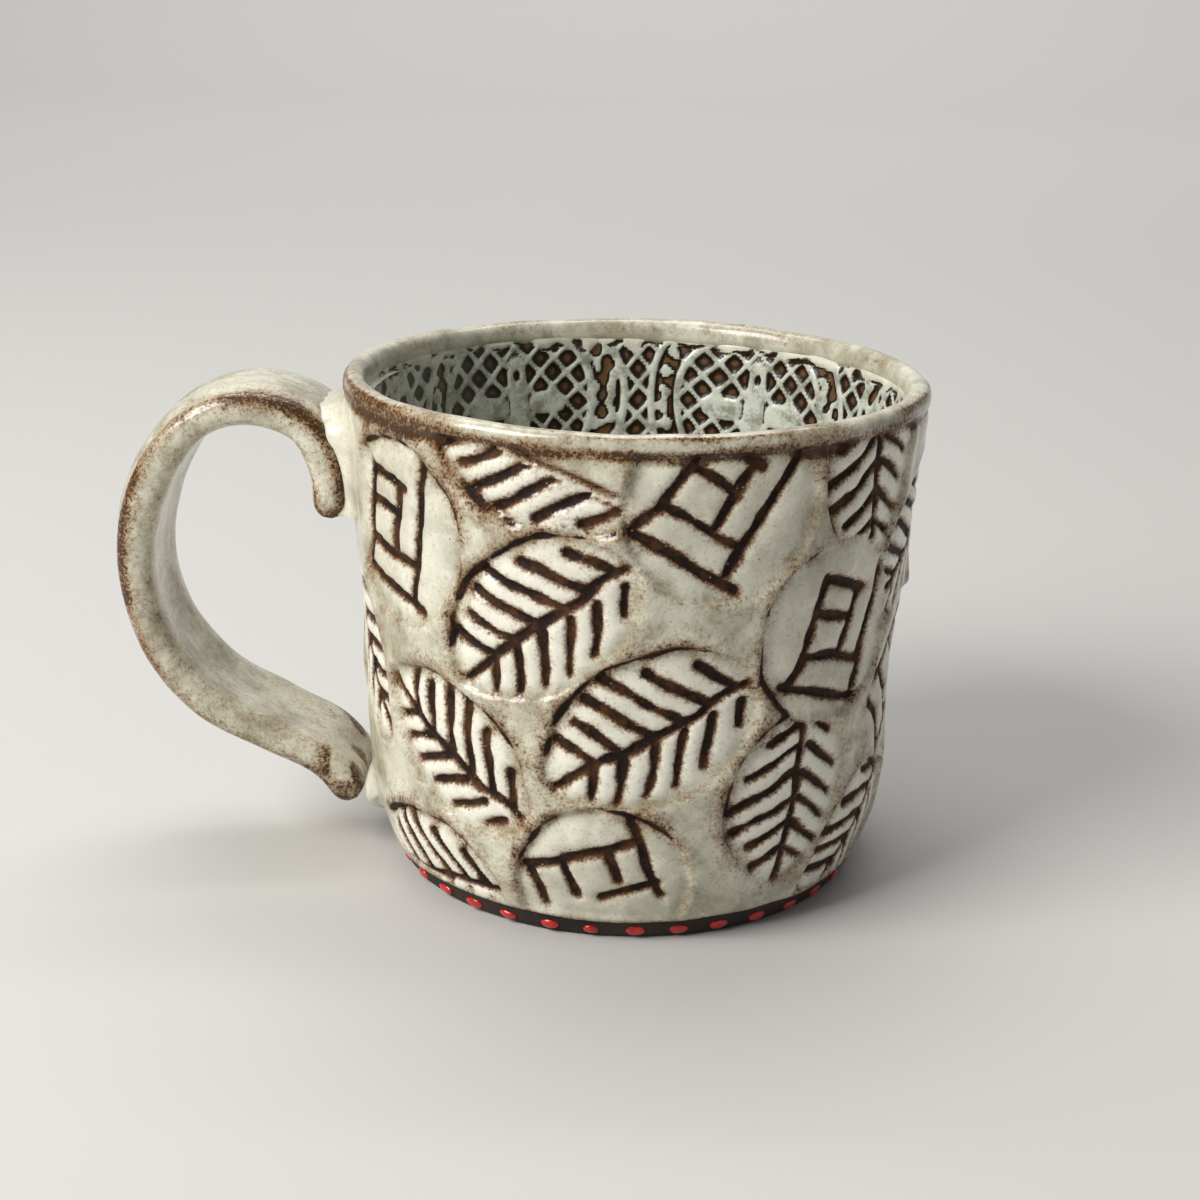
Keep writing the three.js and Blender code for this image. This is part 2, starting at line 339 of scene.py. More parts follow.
def stamped_relief(points, angle):
    """Height in mm, and how near each vertex is to a carved line, a stained edge and a stamp's inside."""
    height, ink, stain, pad = (np.zeros(len(points)) for _ in range(4))
    around = UNROLLED_RADIUS * angle
    wander = 0.26 * ripple(points, 5, 3), 0.26 * ripple(points, 5, 4)
    for number, (block, at, level, turn, size, breadth, slide, deep_side) in enumerate(STAMPS):
        u0 = (around - math.radians(at) * UNROLLED_RADIUS + WRAP / 2) % WRAP - WRAP / 2
        v0 = points[:, 2] - level
        near = np.flatnonzero(np.hypot(u0, v0) < STAMP_REACH)
        spot = points[near]
        u0, v0 = u0[near], v0[near]
        cos, sin = math.cos(math.radians(turn)), math.sin(math.radians(turn))
        u = (u0 * cos + v0 * sin + wander[0][near]) / size
        v = (v0 * cos - u0 * sin + wander[1][near]) / size * math.copysign(1, breadth)
        edge_of, lines_of = BLOCKS[block]
        edge = edge_of(u, v, abs(breadth)) * size
        lines = lines_of(u - slide, v, abs(breadth)) * size + 0.13 * ripple(spot, 1.8, 5)
        inside = ease(edge, 0.5, -0.5)

        # The block was rocked: one side went in deep and cut a dark edge, the other hardly shows.
        facing = np.cos(np.arctan2(v0, u0) - math.radians(deep_side))
        deep = ease(facing, -0.6, 0.8)
        uneven = 0.75 + 0.35 * ripple(spot, 7, 20 + number) + 0.3 * ripple(spot, 2, 5)
        bite = np.clip(ease(facing, -0.1, 0.75) * uneven, 0, 1.2)
        floor = pad_floor(block, edge, lines, deep) - GROOVE_DEPTH * ease(lines, 0.45, -0.35)
        ridge = (0.16 + 0.14 * (1 - deep)) * bell(edge - 1.2, 1.5) * ease(edge, -0.3, 0.7)
        height[near] = height[near] * (1 - inside) + floor * inside + ridge - 0.35 * bell(edge, 0.6) * bite

        # Wash stays in the lines and in the cut edge; the glaze breaks brown just outside them.
        mark = np.clip(0.5 - lines / 3, 0, 1) * inside
        cut = np.clip(0.5 - (np.abs(edge) - 0.62 * bite + 0.12) / 1.8, 0, 1) * ease(bite, 0.2, 0.6)
        ink[near] = np.maximum(ink[near] * (1 - inside), np.maximum(mark, cut))
        spread = np.where(edge > 0, np.exp(-edge / 2.7), np.exp(edge / 1.0))
        halo = np.exp(-np.maximum(lines, 0) / 0.5) * inside + spread * (0.46 + 0.7 * np.clip(bite, 0, 1))
        stain[near] = np.maximum(stain[near] * (1 - 0.75 * inside), np.clip(halo, 0, 1))
        whiteness = 1.0 if "leaf" in block else 0.4
        pad[near] = np.maximum(pad[near] * (1 - inside), whiteness * inside * ease(edge, -0.2, -2.6))
    keep = (1 - smeared(points)) * ease(points[:, 2], LIP_CLEAR, LIP_START)
    keep *= ease(points[:, 2], FOOT_CLEAR, FOOT_START)
    return height * keep, ink * keep, stain * keep, pad * keep


class Socket:
    """One output of a node, so that colours and surfaces are written as plain sums."""

    def __init__(self, shader, output):
        self.shader, self.output = shader, output

    def math(self, operation, *others, clamp=False):
        settings = {"operation": operation, "use_clamp": clamp}
        return self.shader.node("ShaderNodeMath", settings, [self, *others])

    def __add__(self, other):
        return self.math("ADD", other)

    def __sub__(self, other):
        return self.math("SUBTRACT", other)

    def __rsub__(self, other):
        return (-1 * self).math("ADD", other)

    def __mul__(self, other):
        return self.math("MULTIPLY", other)

    def __truediv__(self, other):
        return self.math("DIVIDE", other)

    def __pow__(self, other):
        return self.math("POWER", other)

    __radd__, __rmul__ = __add__, __mul__

    def step(self, low, high):
        """0 up to low, 1 from high, smooth between; low may be above high."""
        if low > high:
            return 1 - self.step(high, low)
        inputs = {"Value": self, "From Min": low, "From Max": high}
        return self.shader.node("ShaderNodeMapRange", {"interpolation_type": "SMOOTHSTEP"}, inputs)


class Shader:
    """A material under construction."""

    def __init__(self, name):
        self.material = bpy.data.materials.new(name)
        self.material.use_nodes = True
        self.tree = self.material.node_tree
        self.surface = self.tree.nodes["Principled BSDF"]
        coordinates = self.tree.nodes.new("ShaderNodeTexCoord")
        self.place = Socket(self, coordinates.outputs["Object"])

    def node(self, kind, settings, inputs, output=0):
        made = self.tree.nodes.new(kind)
        for key, value in settings.items():
            setattr(made, key, value)
        pairs = inputs.items() if isinstance(inputs, dict) else enumerate(inputs)
        for key, value in pairs:
            self.feed(made.inputs[key], value)
        return Socket(self, made.outputs[output])

    def feed(self, target, value):
        if isinstance(value, Socket):
            self.tree.links.new(value.output, target)
        elif isinstance(value, tuple) and len(value) == 3 and target.type == "RGBA":
            target.default_value = (*value, 1)
        else:
            target.default_value = value

    def field(self, name):
        return self.node("ShaderNodeAttribute", {"attribute_name": name}, [], "Fac")

    def moved(self, *offset):
        return self.node("ShaderNodeVectorMath", {"operation": "ADD"}, [self.place, offset])

    def noise(self, size, detail=3, roughness=0.55, distortion=0, offset=0):
        """Cloudy noise with patches of about size mm, 0 to 1 around 0.5."""
        inputs = {"Vector": self.moved(offset, offset, offset), "Scale": 1 / (size * MM)}
        inputs |= {"Detail": detail, "Roughness": roughness, "Distortion": distortion}
        return self.node("ShaderNodeTexNoise", {}, inputs)

    def specks(self, spacing, radius, share, offset=0):
        """1 inside small round specks; only that share of the places has one."""
        inputs = {"Vector": self.moved(offset, 0, offset), "Scale": 1 / (spacing * MM)}
        cells = self.node("ShaderNodeTexVoronoi", {}, inputs, "Distance")
        chosen = self.node("ShaderNodeTexVoronoi", {}, inputs, "Color")
        pick = self.node("ShaderNodeSeparateColor", {}, [chosen])
        reach = pick.step(1 - share, 1) * (radius / spacing)
        return (cells / (reach + 0.0001)).step(1.15, 0.75) * pick.step(1 - share, 1 - share + 0.01)

    def mix(self, below, above, amount):
        settings = {"data_type": "RGBA", "clamp_factor": True}
        return self.node("ShaderNodeMix", settings, {0: amount, 6: below, 7: above}, 2)

    def bump(self, height, distance, under=None):
        """Bump from a height field of 0 to 1 that stands for distance mm."""
        inputs = {"Height": height, "Distance": distance * MM, "Strength": 1}
        if under is not None:
            inputs["Normal"] = under
        return self.node("ShaderNodeBump", {}, inputs)

    def finish(self, **values):
        for name, value in values.items():
            self.feed(self.surface.inputs[name.replace("_", " ")], value)
        return self.material


def srgb(red, green, blue):
    """A colour given as 0 to 255 screen values, as the linear values that materials take."""
    scaled = (channel / 255 for channel in (red, green, blue))
    return tuple(c / 12.92 if c < 0.04045 else ((c + 0.055) / 1.055) ** 2.4 for c in scaled)


CREAM, STONE, HOLLOW = srgb(205, 201, 180), srgb(172, 167, 145), srgb(141, 134, 111)
MILK, FRECKLE = srgb(232, 229, 213), srgb(116, 99, 72)
RUST, BURNT, LINE_EDGE = srgb(124, 86, 40), srgb(62, 39, 20), srgb(104, 63, 30)
WASH_BLACK, WASH_BROWN = srgb(26, 15, 9), srgb(78, 49, 26)
# The last colour is the pale of the crystals and of their painted glints.
IRON_SPECK, CRYSTAL_GLINT = srgb(70, 44, 26), srgb(222, 206, 170)
GLAZE_IOR = 1.28  # low, so that the dark lines stay dark; the gloss comes from the coat
COAT_ROUGHNESS = 0.16


def milky_glaze(name):
    """Satin milky glaze over dark clay. It reads the painted fields ink, stain, pad and thin."""
    glaze = Shader(name)
    ink, stain, pad, thin = (glaze.field(field) for field in ("ink", "stain", "pad", "thin"))
    clouds = glaze.noise(13, 4, 0.6, 0.4)
    patches = glaze.noise(3.6, 5, 0.65, 0.3, 3)
    grain = glaze.noise(0.75, 3, 0.7, 0, 5)
    dust = glaze.noise(0.3, 2, 0.7, 0, 7)
    spray = glaze.noise(0.42, 2, 0.6, 0, 11)
    speckle = grain * 0.5 + dust * 0.5
    grey = (clouds + (patches - 0.5) * 0.4).step(0.34, 0.66)
    colour = glaze.mix(CREAM, STONE, grey)
    dull = (patches + (clouds - 0.5) * 0.5 - pad * 0.12).step(0.46, 0.74) * 0.5
    colour = glaze.mix(colour, HOLLOW, dull)
    milk = (pad * 0.85 + patches.step(0.5, 0.28) * 0.35 - (clouds - 0.5) * 0.4) * (1 - thin)
    colour = glaze.mix(colour, MILK, milk)
    colour = glaze.mix(colour, FRECKLE, speckle.step(0.52, 0.7) * (0.6 - pad * 0.25))

    # Where the glaze is thin it breaks rust, and burnt brown where it is thinnest.
    cast = stain * 0.92 + thin * 0.9 + (patches - 0.5) * 0.6
    rust = (cast + (grain - 0.5) * 0.75 + (spray - 0.5) * 0.8).step(0.16, 0.86)
    colour = glaze.mix(colour, RUST, rust * 0.92)
    burnt = (cast + (grain - 0.5) * 1.4 + (spray - 0.5) * 1.5).step(0.68, 1.0)
    colour = glaze.mix(colour, BURNT, burnt)

    # Iron wash in the carved lines, with a brown edge and a few pale specks, partly crystals and partly
    # painted glints.
    line = (ink + (grain - 0.5) * 0.16 + (dust - 0.5) * 0.12).step(0.46, 0.54)
    fringe = (ink + (grain - 0.5) * 0.26).step(0.37, 0.5)
    colour = glaze.mix(colour, LINE_EDGE, fringe * 0.75)
    wash = glaze.mix(WASH_BLACK, WASH_BROWN, (patches + (grain - 0.5) * 0.4).step(0.42, 0.7))
    colour = glaze.mix(colour, wash, line)
    iron = glaze.specks(2.6, 0.17, 0.3)
    colour = glaze.mix(colour, IRON_SPECK, iron * 0.85 * (1 - line))
    # Pale specks in the lines: crystals, with painted glints on them, and glossier there.
    crystal_glints = glaze.specks(0.8, 0.1, 0.22, 2) * line
    colour = glaze.mix(colour, CRYSTAL_GLINT, crystal_glints * 0.85)

    gloss = 0.32 + (clouds - 0.5) * 0.16 + (grain - 0.5) * 0.16 + burnt * 0.16 + line * 0.2 - crystal_glints * 0.3
    skin = glaze.bump(glaze.noise(2.4, 2, 0.5, 0, 9), 0.1)
    skin = glaze.bump(grain, 0.04, skin)
    skin = glaze.bump(1 - line, 0.11, skin)
    skin = glaze.bump(1 - iron, 0.03, skin)
    coat = 0.75 - line * 0.68 - burnt * 0.4
    glaze.finish(Base_Color=colour, Roughness=gloss, Normal=skin)
    return glaze.finish(Coat_Weight=coat, Coat_Roughness=COAT_ROUGHNESS, IOR=GLAZE_IOR)


wall_face = smooth_path(WALL_FACE, FACE_STEP)
wall_outline = np.vstack([wall_face, smooth_path(WALL_CORE, CORE_STEP)])
wall_outside = turned("wall_outside", wall_outline)
points = points_of(wall_outside)
level = points[:, 2]
azimuth = np.arctan2(points[:, 1], points[:, 0])
rows = outline_rows(points, wall_outline)
facing_out = rows < len(wall_face)
outer = facing_out & (rows < np.abs(wall_face[:, 1] - LIP_CREST).argmin())
height, ink, stain, pad = (np.where(outer, field, 0) for field in stamped_relief(points, azimuth))
calm = 1 - smeared(points)
height += facing_out * (0.2 * ripple(points, 17, 1) * calm + 0.07 * ripple(points, 4.5, 2))
height = np.maximum(height, -DEEPEST_CUT)
height -= 0.22 * bell(level - 77.4, 0.6) * outer * calm

# The glaze runs thin under the lip, more so on the handle's side, and along the crest and the foot.
by_handle = ease(azimuth, math.radians(-112), math.radians(-135))
by_handle *= ease(azimuth, -math.pi, math.radians(-165))
lip_band = bell(level - 77.7 - 0.35 * ripple(points, 9, 12), 0.95 + 0.5 * by_handle) * outer
broken = ease(ripple(points, 15, 8) + 0.5 * ripple(points, 5, 9), -0.6, 0.7)
thin = lip_band * (0.75 + 0.2 * by_handle + 0.6 * broken)
thin += 0.6 * bell(level - 80.1, 0.5) * outer * ease(ripple(points, 18, 10), -0.8, 0.6)
thin += 0.75 * bell(level - 3.5, 0.45) * outer
thin += 0.46 * ease(level, 77.4, 79.0) * (0.75 + 0.35 * ripple(points, 9, 11)) * facing_out
raise_surface(wall_outside, points, rows, wall_outline, height)
paint(wall_outside, ink=ink, stain=stain, pad=pad, thin=np.clip(thin, 0, 1))
glaze_material = milky_glaze("glaze_milky")
wall_outside.data.materials.append(glaze_material)
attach(wall_outside, "root")
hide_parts("wall")

# ---------------------------------------------------------------------------------------------------------
# Wall, inner face. The other side of the same slab was rolled out on a piece of lace, which left a net of
# fine ridges and large rosettes. The dark wash stays in the meshes and the glaze is white on the ridges.
LACE_TOP = 76.4
INNER_FACE = [
    (43.1, 78.4), (42.7, 77.9), (42.35, 77.1), (42.15, 75.5), (41.5, 62), (40.5, 48), (39.0, 30),
    (37.6, 15), (36.6, 8), (35.85, 4.3),
]
INNER_CORE = [(37.2, 4.4), (39.8, 18), (41.4, 45), (43.1, 75.4), (43.4, 78.2)]
LACE_RADIUS = 42.0
MESH_ROUND, MESH_HIGH = 4.9, 5.1  # one mesh of the net
ROSETTE_SPACING = math.radians(60)
FIRST_ROSETTE = math.radians(60.2)
ROSETTE_LEVELS = (66, 30)
ROSETTE_RADIUS = 14.5
RING_WIDTH = 5.1
RING_HALF = 0.6  # half the width of the ridge on either side of a rosette's ring
NET_HALF = 0.33  # the same for a thread of the net
BAR_ACROSS, BAR_UP = 1.9, 8.5
BAR_HOLE = 5.4  # how far above and below the rosette's middle its bar has a hole
PETAL_ACROSS, PETAL_UP, PETAL_AWAY = 3.7, 2.0, 6.0
EYELET_FLAT = -0.5  # bars and petals are flat on top


def lace(points, angle):
    """Distance in mm from the edge of the nearest lace ridge; below 0 on the ridge."""
    wander = 0.4 * ripple(points, 9, 31), 0.4 * ripple(points, 9, 32)
    around = LACE_RADIUS * angle + wander[0]
    level = points[:, 2] + wander[1]
    blotch = ripple(points, 1.5, 37)
    spacing = MESH_ROUND * MESH_HIGH / math.hypot(MESH_ROUND, MESH_HIGH)
    nearness = 0
    for sign in (-1, 1):
        phase = around / MESH_ROUND + sign * level / MESH_HIGH
        nearness = nearness + np.maximum(np.abs(phase - np.rint(phase)) * spacing, 0.05) ** -2.5
    ridge = nearness ** (-1 / 2.5) - NET_HALF  # rounds the corners of each mesh
    for tier, centre_level in enumerate(ROSETTE_LEVELS):
        offset = (angle - FIRST_ROSETTE - tier * ROSETTE_SPACING / 2) % ROSETTE_SPACING
        offset = np.where(offset > ROSETTE_SPACING / 2, offset - ROSETTE_SPACING, offset)
        u = LACE_RADIUS * offset + wander[0]
        v = level - centre_level
        away = np.hypot(u, v)
        from_ring = np.abs(away - ROSETTE_RADIUS - RING_WIDTH / 2)
        blots = 1.3 * ease(blotch, -0.3, 0.7) * ease(from_ring, 2.2, 1.2) - 0.1
        ridge = np.where(from_ring < RING_WIDTH / 2, blots, ridge)
        for radius in (ROSETTE_RADIUS, ROSETTE_RADIUS + RING_WIDTH):
            ridge = np.minimum(ridge, np.abs(away - radius) - RING_HALF)
        bar = BAR_ACROSS * (((u / BAR_ACROSS) ** 4 + (v / BAR_UP) ** 4) ** 0.25 - 1)
        ridge = np.minimum(ridge, np.maximum(bar, EYELET_FLAT))
        for hole in (-BAR_HOLE, BAR_HOLE):
            ridge = np.where(bar < 0, np.maximum(ridge, 0.8 - np.hypot(u * 1.1, (v - hole) * 0.8)), ridge)
        for side in (-1, 1):
            across, up = np.abs((u - side * PETAL_AWAY) / PETAL_ACROSS), np.abs(v / PETAL_UP)
            petal = PETAL_UP * ((across**3 + up**3) ** (1 / 3) - 1)
            ridge = np.minimum(ridge, np.maximum(petal, EYELET_FLAT))
    return ridge


inner_face = smooth_path(INNER_FACE, FACE_STEP)
inner_outline = np.vstack([inner_face, smooth_path(INNER_CORE, CORE_STEP)])
wall_inside = turned("wall_inside", inner_outline)
points = points_of(wall_inside)
rows = outline_rows(points, inner_outline)
inner = rows < len(inner_face)
level = points[:, 2]
azimuth = np.arctan2(points[:, 1], points[:, 0])
ridge = lace(points, azimuth)
top = LACE_TOP + 0.5 * ripple(points, 4, 33) + 0.5 * ripple(points, 1.8, 34)
seam = bell(np.abs(azimuth) * LACE_RADIUS - math.pi * LACE_RADIUS, 3.2)  # where the slab's ends overlap
shade_fade = 0.14 * ease(azimuth, math.radians(118), math.radians(150))  # the net is made fainter and flatter by the handle, standing in for the low contrast of the shade there
keep = ease(level, top + 0.3, top - 0.5) * (1 - seam) * (1 - shade_fade)
fringe = bell(level - top, 0.6) * ease(ripple(points, 2.5, 35), -0.9, 0.2) * (1 - shade_fade) * inner
height = inner * (0.55 * ease(ridge, 0.45, -0.35) - 0.45) * keep - 0.25 * fringe
height += 0.15 * ripple(points, 14, 36) * ease(level, 77.5, 73) * inner
height += 0.5 * seam * inner * ease(level, 75.5, 71)
raise_surface(wall_inside, points, rows, inner_outline, height)
web = np.where(inner, np.clip(0.5 - ridge / 2, 0, 1) * keep + 1 - keep, 1)
paint(wall_inside, web=web, lace=keep * inner, fringe=fringe)
RIDGE_PALE, RIDGE_GREY = srgb(204, 207, 192), srgb(146, 147, 128)
PLAIN_PALE, PLAIN_GREY = srgb(226, 222, 203), srgb(190, 186, 166)
MESH_DARK, POOL_AMBER, TOP_FRINGE = srgb(34, 20, 12), srgb(110, 80, 48), srgb(42, 26, 15)


def lace_glaze(name):
    """The same glaze in the net: white on the ridges, dark in the meshes, amber where it pooled."""
    glaze = Shader(name)
    web, net, fringe = (glaze.field(field) for field in ("web", "lace", "fringe"))
    clouds = glaze.noise(11, 4, 0.6, 0.3)
    patches = glaze.noise(3, 3, 0.6, 0.2, 3)
    grain = glaze.noise(0.6, 3, 0.7, 0, 5)
    plain = glaze.mix(PLAIN_PALE, PLAIN_GREY, clouds.step(0.35, 0.7))
    pale = glaze.mix(RIDGE_PALE, RIDGE_GREY, (patches + (grain - 0.5) * 0.5).step(0.4, 0.7))
    colour = glaze.mix(plain, pale, net)
    mesh = (web + (grain - 0.5) * 0.16).step(0.53, 0.42) * net
    pool = (web + (patches - 0.5) * 0.3 + (grain - 0.5) * 0.16).step(0.26, 0.04) * 0.85
    sunk = glaze.mix(MESH_DARK, POOL_AMBER, pool)
    colour = glaze.mix(colour, sunk, mesh)
    colour = glaze.mix(colour, TOP_FRINGE, (fringe + (grain - 0.5) * 0.8).step(0.4, 0.68))
    gloss = 0.3 + mesh * 0.05 + (grain - 0.5) * 0.12
    skin = glaze.bump(glaze.noise(2, 2, 0.5, 0, 9), 0.09)
    skin = glaze.bump(1 - mesh, 0.2, skin)
    glaze.finish(Base_Color=colour, Roughness=gloss, Normal=skin)
    return glaze.finish(Coat_Weight=0.7 - mesh * 0.5, Coat_Roughness=COAT_ROUGHNESS, IOR=GLAZE_IOR)


wall_inside.data.materials.append(lace_glaze("glaze_over_lace"))
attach(wall_inside, "root")
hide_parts("wall")

# ---------------------------------------------------------------------------------------------------------
# Floor disc. A flat slab cut to a circle and left bare: the dark body shows as a narrow band under the
# glaze, where the drops of red sit, and over the whole underside. Its lower edge was sponged round.
FLOOR_OUTLINE = [
    (0, 0.25), (28, 0.2), (33.5, 0.05), (36.3, 0.02), (36.9, 0.22), (37.25, 0.7), (38.3, 3.2), (38.45, 3.7),
    (38.1, 3.85), (0, 3.6),
]
FLOOR_COLUMNS = 256
FLOOR_STEP = 1.6
CLAY_DARK, CLAY_BROWN = srgb(34, 24, 17), srgb(58, 41, 30)
CLAY_TOASTED, IRON_SPOT = srgb(86, 63, 46), srgb(20, 14, 10)


def bare_clay(name):
    """Vitrified dark stoneware with no glaze: dry, gritty, toasted lighter in patches."""
    clay = Shader(name)
    clouds = clay.noise(16, 4, 0.6, 0.5)
    grit = clay.noise(0.9, 4, 0.7, 0, 4)
    drag = clay.noise(5, 3, 0.6, 1.2, 8)
    colour = clay.mix(CLAY_DARK, CLAY_BROWN, clouds.step(0.38, 0.7))
    colour = clay.mix(colour, CLAY_TOASTED, (grit + (drag - 0.5) * 0.5).step(0.58, 0.85) * 0.6)
    colour = clay.mix(colour, IRON_SPOT, clay.specks(1.7, 0.2, 0.4) * 0.8)
    rough = 0.8 + (grit - 0.5) * 0.2 - clouds.step(0.5, 0.8) * 0.12
    skin = clay.bump(grit, 0.12)
    skin = clay.bump(drag, 0.2, skin)
    return clay.finish(Base_Color=colour, Roughness=rough, Normal=skin)


floor_outline = []
for first, last in zip(FLOOR_OUTLINE, FLOOR_OUTLINE[1:]):
    cuts = max(1, round(math.dist(first, last) / FLOOR_STEP))
    floor_outline += [tuple(np.add(first, np.subtract(last, first) * k / cuts)) for k in range(cuts)]
floor_outline = np.array([*floor_outline, FLOOR_OUTLINE[-1]])
floor_disc = turned("floor_disc_clay", floor_outline, FLOOR_COLUMNS)
points = points_of(floor_disc)
dents = 0.05 * ripple(points, 6, 41) + 0.035 * ripple(points, 2.5, 42)
points[:, 2] = np.maximum(points[:, 2] + dents * ease(points[:, 2], 3.6, 2.0), 0)
move_points(floor_disc, points)
floor_disc.data.materials.append(bare_clay("clay_bare"))
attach(floor_disc, "root")
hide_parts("floor_disc")

# ---------------------------------------------------------------------------------------------------------
# Corner coil. A coil pressed into the corner between wall and floor and wiped smooth, then covered, like
# the floor inside, by the glaze that was poured in and pooled there.
CORNER_FACE = [(35.75, 9.5), (35.6, 7.6), (34.2, 5.4), (31.5, 4.45), (24, 4.25), (12, 4.3), (0, 4.2)]
CORNER_COLUMNS, CORNER_STEP = 360, 0.8
CORNER_BED = [(0, 3.95), (35.5, 3.95), (36.6, 4.6), (36.9, 9)]
corner_outline = np.vstack([smooth_path(CORNER_FACE, CORNER_STEP), CORNER_BED])
corner_coil = turned("corner_coil_glazed", corner_outline, CORNER_COLUMNS)
points = points_of(corner_coil)  # only the face that shows is uneven
shown = (np.hypot(points[:, 0], points[:, 1]) < 35.4) & (points[:, 2] > 4.05)
points[:, 2] += shown * (0.1 * ripple(points, 12, 51) + 0.04 * ripple(points, 3.5, 52))
move_points(corner_coil, points)
radius = np.hypot(points[:, 0], points[:, 1])
pooled = np.full(len(points), 0.5)
paint(corner_coil, thin=0.25 * bell(radius - 33, 3), stain=0.3 * bell(radius - 34, 2.5), pad=pooled)
corner_coil.data.materials.append(glaze_material)
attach(corner_coil, "root")
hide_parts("corner_coil")

# ---------------------------------------------------------------------------------------------------------
# Handle strap. A strap pulled from a lump of clay: its back is crowned and its sides keep a fine ridge
# where the glaze breaks brown. The top end is folded back on itself, the bottom end is pressed flat.
HANDLE_LINE = [
    (47.4, 57.2), (47.9, 65.2), (51.8, 71.8), (60.5, 74.2), (69.5, 71), (76.4, 61), (78.9, 48.5),
    (76.0, 35.5), (68.6, 25.8), (58.5, 20.2), (49.6, 15.6), (44.2, 9.2),
]
HALF_SECTION = [
    (3.7, 5), (2.9, 8.4), (2.3, 9.7), (1.0, 10.5), (-0.9, 10.5), (-2.3, 9.6), (-2.85, 7.4), (-2.6, 3.5),
]
STRAP_SECTION = [(4.0, 0), *HALF_SECTION, (-2.5, 0), *((x, -y) for x, y in HALF_SECTION[::-1])]
STRAP_RINGS = 240
ROUNDED_SHARE = 0.03  # how much of the strap's length is rounded off at each end
END_THICK, END_WIDE = 0.15, 0.8  # thickness and width at the very ends, as shares of the section's
THINNEST_GLAZE = 0.78
strap_line = smooth_path(HANDLE_LINE, 0.1)
strap_section = smooth_path(STRAP_SECTION, 0.75, closed=True)
bpy.ops.object.select_all(action="DESELECT")
bpy.ops.mesh.primitive_circle_add(vertices=len(strap_section), radius=MM, fill_type="NGON")
strap = bpy.context.object
strap.name = strap.data.name = "strap_pulled"
flat_section = np.column_stack([strap_section, np.zeros(len(strap_section))])
move_points(strap, flat_section)
bpy.ops.object.mode_set(mode="EDIT")
bpy.ops.mesh.select_all(action="SELECT")
for _ in range(STRAP_RINGS):
    bpy.ops.mesh.extrude_region_move(TRANSFORM_OT_translate={"value": (0, 0, MM)})
bpy.ops.mesh.select_all(action="SELECT")
bpy.ops.mesh.normals_make_consistent(inside=False)
bpy.ops.object.mode_set(mode="OBJECT")
bpy.ops.object.shade_smooth()

# The straight bar is bent along the handle's line and rounded off at its ends. In its section x is the
# depth, from the inside face (below 0) to the crowned back, and y the width.
points = points_of(strap)
depth = points[:, 0]
along = points[:, 2] / STRAP_RINGS
place = along * (len(strap_line) - 1)
steps = np.arange(len(strap_line))
centre = np.column_stack([np.interp(place, steps, strap_line[:, k]) for k in range(2)])
headings = np.gradient(strap_line, axis=0)
headings /= np.linalg.norm(headings, axis=1)[:, None]
heading = np.column_stack([np.interp(place, steps, headings[:, k]) for k in range(2)])
from_end = np.clip(np.minimum(along, 1 - along) / ROUNDED_SHARE, 0, 1)
tips = np.sqrt(1 - (1 - from_end) ** 2)
swell = 1 + 0.07 * ease(along, 0.16, 0) - 0.04 * ease(along, 0.8, 1)
deep = depth * (END_THICK + (1 - END_THICK) * tips) * (1 + 0.05 * np.sin(along * 19))
side = points[:, 1] * (END_WIDE + (1 - END_WIDE) * tips) * swell
bent = np.column_stack([deep * heading[:, 1] - centre[:, 0], side, centre[:, 1] + deep * heading[:, 0]])

# The glaze breaks brown along the ridges, most over the arch, round the outer bend and at the two ends.
girth = np.abs(points[:, 1])
on_ridge = bell(depth - 2.1, 1.5) * bell(girth - 9.9, 1.3)
on_heel = bell(depth + 2.2, 0.9) * bell(girth - 9.4, 1.0)
on_back = bell(depth - 2.8, 1.5) * bell(girth - 8.4, 1.9)
arch = ease(along, 0.3, 0.2)
outer_bend = bell(along - 0.45, 0.15)
heel = ease(along, 0.86, 0.93)
thin = on_ridge * (0.35 + 0.55 * arch + 0.5 * outer_bend + 0.4 * heel)
thin += on_heel * (0.15 + 0.5 * ease(along, 0.2, 0.05) + 0.2 * heel)
thin += on_back * (0.1 * outer_bend + 0.3 * arch)
thin += 0.9 * ease(along, 0.025, 0.0) + 0.6 * ease(along, 0.97, 1.0)
thin *= 0.9 + 0.3 * ripple(bent, 7, 61) + 0.16 * ripple(bent, 2.5, 66)
thin += 0.85 * bell(along - 0.95, 0.035) * ease(ripple(bent, 3.2, 62), 0.2, 0.7) * (1 - on_ridge)
inside_face = ease(depth, -1.2, -2.4)

# Wet fingers left long pull marks down the back, and the whole strap is a little uneven.
out = np.column_stack([heading[:, 1], 0 * along, heading[:, 0]])
pull_marks = 0.1 * np.sin(points[:, 1] * 1.7 + 2 * ripple(bent, 25, 63)) * ease(depth, 1, 3)
wobble = 0.1 * ripple(bent, 13, 64) + 0.04 * ripple(bent, 4, 65) + pull_marks
bent += out * (wobble * np.sign(depth))[:, None]
move_points(strap, bent)
thin = np.clip(thin, 0, THINNEST_GLAZE)
paint(strap, thin=thin, pad=0.1 * inside_face, stain=0.28 + 0.05 * on_ridge)
strap.data.materials.append(glaze_material)
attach(strap, "root")
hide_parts("handle_strap")

